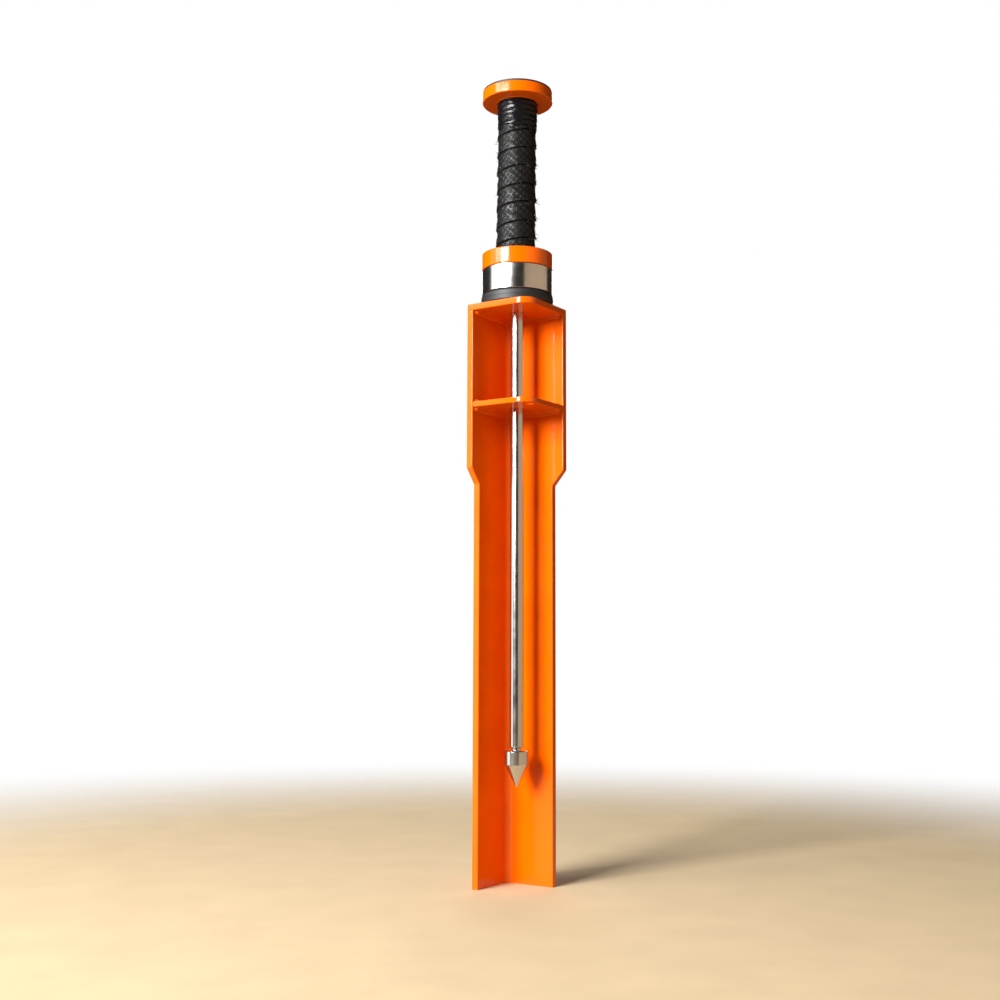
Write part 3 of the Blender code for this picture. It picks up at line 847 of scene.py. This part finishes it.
def dimples(along, down, cell):
    """Relief of a staggered lattice of round dimples with a pip in each, from -1 to 0.

    With d the distance to the nearest of the two square lattices, one shifted by half a cell,
    the dimple is a smooth step from the rim at 0.29 cells to its floor at 0.21, and the pip is
    a small bell on its floor.
    """
    nearest = np.full(along.shape, np.inf)
    for shift in (0.0, 0.5):
        a = np.mod(along / cell + shift, 1.0) - 0.5
        b = np.mod(down / cell + shift, 1.0) - 0.5
        nearest = np.minimum(nearest, np.hypot(a, b))
    step = np.clip((0.29 - nearest) / 0.08, 0, 1)
    return -step * step * (3 - 2 * step) + 0.6 * np.exp(-(nearest / 0.09) ** 2)


class SPIKE_OT_overgrip(bpy.types.Operator):
    """Overgrip strip, wound upwards with each turn's lower edge lapping the turn below"""
    bl_idname = "ground_spike.overgrip"
    bl_label = "Overgrip"

    def execute(self, context):
        settings = context.scene.spike_grip
        grid = strip_grid(GRIP, settings.pitch, settings.wander, 420, 220)
        angle, height, share, along = grid
        level = (height - GRIP.foot) / (GRIP.head - GRIP.foot)
        base = GRIP.radius - 0.35 * MM
        # each turn thickens down to its lower edge, rounds off and leaves a groove below it
        lap = settings.overlap * share ** 1.6
        edge = np.clip((1 - share) / 0.025, 0, 1)
        groove = -0.9 * MM * np.exp(-(share / 0.045) ** 2)
        lump = 0.20 * MM * smooth_noise(angle, height, 4)
        relief = dimples(along, share * settings.pitch, settings.cell)
        # how deep the dimples stay here; flatter dimples also take more of the overgrip's lighter grey,
        # which is partly a painted sheen
        wear_and_sheen = np.clip(0.75 + 0.5 * smooth_noise(angle, height, 31), 0.25, 1)
        flat = np.clip(share / 0.08, 0, 1) * np.clip((1 - share) / 0.06, 0, 1)
        relief = relief * wear_and_sheen * flat
        # wound thicker towards the guard ring, most of all on one side
        heavier = 1.3 * MM * np.cos(angle - math.radians(212)) * (1 - level)
        flare = 0.5 * MM * (1 - level)
        radius = base + lap * edge + groove + lump + heavier + settings.emboss * relief
        inner = TUBE.radius + SEAM / 3
        radius = np.maximum(radius + flare, inner + 0.3 * MM)
        mesh = wound_strip("wound_overgrip", radius, grid, inner, relief)
        add_piece("wound_overgrip", mesh, once(embossed_overgrip), "hammer",
                  ["overgrip"], crease=60, weighted=False)
        return {"FINISHED"}


class SPIKE_OT_tape(bpy.types.Operator):
    """Finishing tape wound tightly over the overgrip's upper end"""
    bl_idname = "ground_spike.tape"
    bl_label = "Finishing Tape"

    def execute(self, context):
        settings = context.scene.spike_grip
        grid = strip_grid(TAPE, settings.tape_pitch, 0.5 * MM, 160, 160)
        angle, height, share, along = grid
        level = (height - TAPE.foot) / (TAPE.head - TAPE.foot)
        rib = 0.5 * MM * np.sin(math.pi * share) ** 0.6
        lump = 0.14 * MM * smooth_noise(angle, height, 21)
        pulled = 0.03 * MM * smooth_noise(angle, 6 * height, 23)
        radius = TAPE.radius - 1.5 * MM + 1.0 * MM * level ** 0.7 + rib + lump + pulled
        mesh = wound_strip("tape_winding", radius, grid, GRIP.radius - 0.5 * MM,
                           np.zeros(radius.shape))
        add_piece("tape_winding", mesh, once(finishing_tape), "hammer",
                  ["finishing_tape"], crease=60, weighted=False)
        return {"FINISHED"}


class SPIKE_OT_frays(bpy.types.Operator):
    """Loose threads along the overgrip's seams: thin tubes that stick out and droop"""
    bl_idname = "ground_spike.frays"
    bl_label = "Loose Threads"

    def execute(self, context):
        settings = context.scene.spike_grip
        random = np.random.default_rng(12)
        count, steps, sides = settings.fray_count, 7, 4
        whole = random.uniform(0.25, (TAPE.foot - GRIP.foot) / settings.pitch + 0.2, count) * TURN
        rise = seam_height(GRIP, settings.pitch, settings.wander, whole)
        height = rise + random.normal(0.6, 1.6, count) * MM
        height = np.clip(height, GRIP.foot + 2 * MM, GRIP.head)[:, None, None]
        out = np.stack([np.cos(whole), np.sin(whole), 0 * whole], axis=-1)[:, None]
        across = np.stack([-np.sin(whole), np.cos(whole), 0 * whole], axis=-1)[:, None]
        up = np.array([0.0, 0.0, 1.0])
        length = settings.fray_length * random.uniform(0.15, 1, count)[:, None, None] ** 1.5
        lean, curl, lift, droop = (random.normal(middle, spread, count)[:, None, None]
                                   for middle, spread in ((0, 0.7), (0, 0.4), (0.6, 0.2), (0.3, 0.4)))
        along = np.linspace(0, 1, steps)[None, :, None]
        # root, plus its first direction times t, plus its bend times t squared
        path = (out * (GRIP.radius - 0.6 * MM) + height * up
                + length * along * (out * lift + across * lean)
                + length * along ** 2 * (across * curl - up * droop))
        turn = (np.arange(sides) / sides * TURN)[None, None, :, None]
        thick = (0.26 - 0.15 * along)[..., None] * MM
        rings = path[:, :, None] + thick * (np.cos(turn) * across[:, :, None] + np.sin(turn) * up)
        start = (np.arange(count) * steps * sides)[:, None, None]
        tubes = faces_of(steps, sides, False, True)[None] + start
        caps = np.stack([np.arange(sides)[::-1], np.arange(sides) + (steps - 1) * sides])[None]
        faces = np.concatenate([tubes.reshape(-1, 4), (caps + start).reshape(-1, 4)])
        mesh = mesh_from("loose_threads", rings.reshape(-1, 3), faces.tolist())
        add_piece("loose_threads", mesh, once(frayed_thread), "hammer",
                  weighted=False)
        return {"FINISHED"}


# ---- studio

def stand(settings, turn, reach, height):
    """Point at a turn in degrees to the right of the camera, a distance out and a height."""
    bearing = settings.azimuth - math.pi / 2 + math.radians(turn)
    return Vector((reach * math.cos(bearing), reach * math.sin(bearing), height))


def softbox(name, place, aim, width, height, radiance, tint):
    """Area light that looks at a height on the rod's axis; its power is 4 * radiance * area."""
    light = bpy.data.lights.new(name, "AREA")
    light.shape = "RECTANGLE"
    light.size = width
    light.size_y = height
    light.energy = 4 * radiance * width * height
    light.color = linear(tint)
    lamp = bpy.data.objects.new(name, light)
    bpy.context.scene.collection.objects.link(lamp)
    towards = Vector((0, 0, aim)) - place
    lamp.matrix_world = Matrix.Translation(place) @ towards.to_track_quat("-Z", "Y").to_matrix().to_4x4()


def fading_floor(settings):
    """Matt pale floor paint, faintly mottled, that fades to nothing at the floor's edge."""
    material, tree = new_material("matt_floor_paint")
    where = add(tree, "TexCoord", out="Object")
    mottle = add(tree, "TexNoise", {"Vector": where}, {"Scale": per_mm(60), "Detail": 6.0})
    darker = [channel * 0.93 for channel in settings.floor]
    tint = add(tree, "ValToRGB", {"Fac": mottle}, stops=[(0.35, darker), (0.7, settings.floor)])
    paint = add(tree, "BsdfPrincipled", {"Base Color": tint}, {"Roughness": 0.9})
    reach = add(tree, "VectorMath", {0: where}, out="Value", operation="LENGTH")
    fade = add(tree, "MapRange", {"Value": reach},
               {"From Min": settings.floor_clear, "From Max": settings.floor_edge,
                "To Min": 0.0, "To Max": 1.0}, interpolation_type="SMOOTHSTEP")
    clear = add(tree, "BsdfTransparent")
    mix = add(tree, "MixShader", {0: fade, 1: paint, 2: clear})
    add(tree, "OutputMaterial", {"Surface": mix})
    return material


def plain_surroundings():
    """World that is plain white behind the object and dim everywhere that it lights."""
    world = bpy.data.worlds.new("studio")
    world.use_nodes = True
    tree = world.node_tree
    tree.nodes.clear()
    seen = add(tree, "Background", values={"Color": rgba("#FFFFFF"), "Strength": 1.0})
    dim = add(tree, "Background", values={"Color": rgba("#E0D0BC"), "Strength": 0.04})
    path = add(tree, "LightPath", out="Is Camera Ray")
    mix = add(tree, "MixShader", {0: path, 1: dim, 2: seen})
    add(tree, "OutputWorld", {"Surface": mix})
    bpy.context.scene.world = world


class SPIKE_OT_stage(bpy.types.Operator):
    """Pale floor at the ground line, soft lights and the camera"""
    bl_idname = "ground_spike.stage"
    bl_label = "Studio"

    def execute(self, context):
        settings = context.scene.spike_studio
        scene = context.scene
        mesh = bpy.data.meshes.new("floor")
        rim = np.column_stack([circle(0, 0, settings.floor_edge, 96), np.zeros(96)])
        mesh.from_pydata(rim.tolist(), [], [list(range(96))])
        mesh.materials.append(fading_floor(settings))
        floor = bpy.data.objects.new("floor", mesh)
        scene.collection.objects.link(floor)
        plain_surroundings()

        camera = bpy.data.objects.new("camera", bpy.data.cameras.new("camera"))
        camera.data.sensor_width = 36.0
        camera.data.lens = settings.lens
        place = stand(settings, 0, settings.distance, settings.height)
        camera.matrix_world = (Matrix.Translation(place)
                               @ Matrix.Rotation(settings.azimuth - settings.pan, 4, "Z")
                               @ Matrix.Rotation(math.pi / 2 + settings.pitch, 4, "X")
                               @ Matrix.Rotation(settings.roll, 4, "Z"))
        scene.collection.objects.link(camera)
        scene.camera = camera

        # name, turn from the camera in degrees; height, width and tallness in metres; radiance, tint
        lamps = (("key", -41, 1.10, 0.97, 0.95, 39, "#FFFFFF"),
                 ("high_key", -65, 1.42, 0.72, 0.5, 13, "#FFFFFF"),
                 ("key_wing", -80, 0.45, 1.05, 2.0, 1.3, "#FFFFFF"),
                 ("fill", 68, 0.45, 4.4, 2.0, 0.46, "#FFDDB8"),
                 ("back", 180, 1.1, 1.4, 1.2, 2.5, "#FFFFFF"))
        for name, turn, height, width, tallness, radiance, tint in lamps:
            place = stand(settings, turn, settings.lamp_reach, height)
            softbox(name, place, settings.lamp_aim, width, tallness, radiance, tint)
        scene.view_settings.view_transform = "Standard"
        return {"FINISHED"}


class SPIKE_PT_panel(bpy.types.Panel):
    """Lists the operators in the order in which they are run"""
    bl_idname = "SPIKE_PT_panel"
    bl_label = "Ground Spike"
    bl_space_type = "VIEW_3D"
    bl_region_type = "UI"
    bl_category = "Ground Spike"

    def draw(self, context):
        for operator in OPERATORS:
            self.layout.operator(operator.bl_idname)


GROUPS = {"ground_spike": SpikeSettings, "spike_hammer": HammerSettings,
          "spike_grip": GripSettings, "spike_studio": StudioSettings}
OPERATORS = (SPIKE_OT_blade, SPIKE_OT_plates, SPIKE_OT_welds, SPIKE_OT_bushes, SPIKE_OT_rod,
             SPIKE_OT_bumper, SPIKE_OT_head, SPIKE_OT_cap, SPIKE_OT_hidden, SPIKE_OT_overgrip,
             SPIKE_OT_tape, SPIKE_OT_frays, SPIKE_OT_stage)


def register():
    for group in GROUPS.values():
        bpy.utils.register_class(group)
    for name, group in GROUPS.items():
        setattr(bpy.types.Scene, name, bpy.props.PointerProperty(type=group))
    for operator in OPERATORS:
        bpy.utils.register_class(operator)
    bpy.utils.register_class(SPIKE_PT_panel)


def unregister():
    bpy.utils.unregister_class(SPIKE_PT_panel)
    for operator in reversed(OPERATORS):
        bpy.utils.unregister_class(operator)
    for name, group in reversed(GROUPS.items()):
        delattr(bpy.types.Scene, name)
        bpy.utils.unregister_class(group)


def main():
    register()
    for operator in OPERATORS:
        group, action = operator.bl_idname.split(".")
        getattr(getattr(bpy.ops, group), action)()


if __name__ == "__main__":
    main()
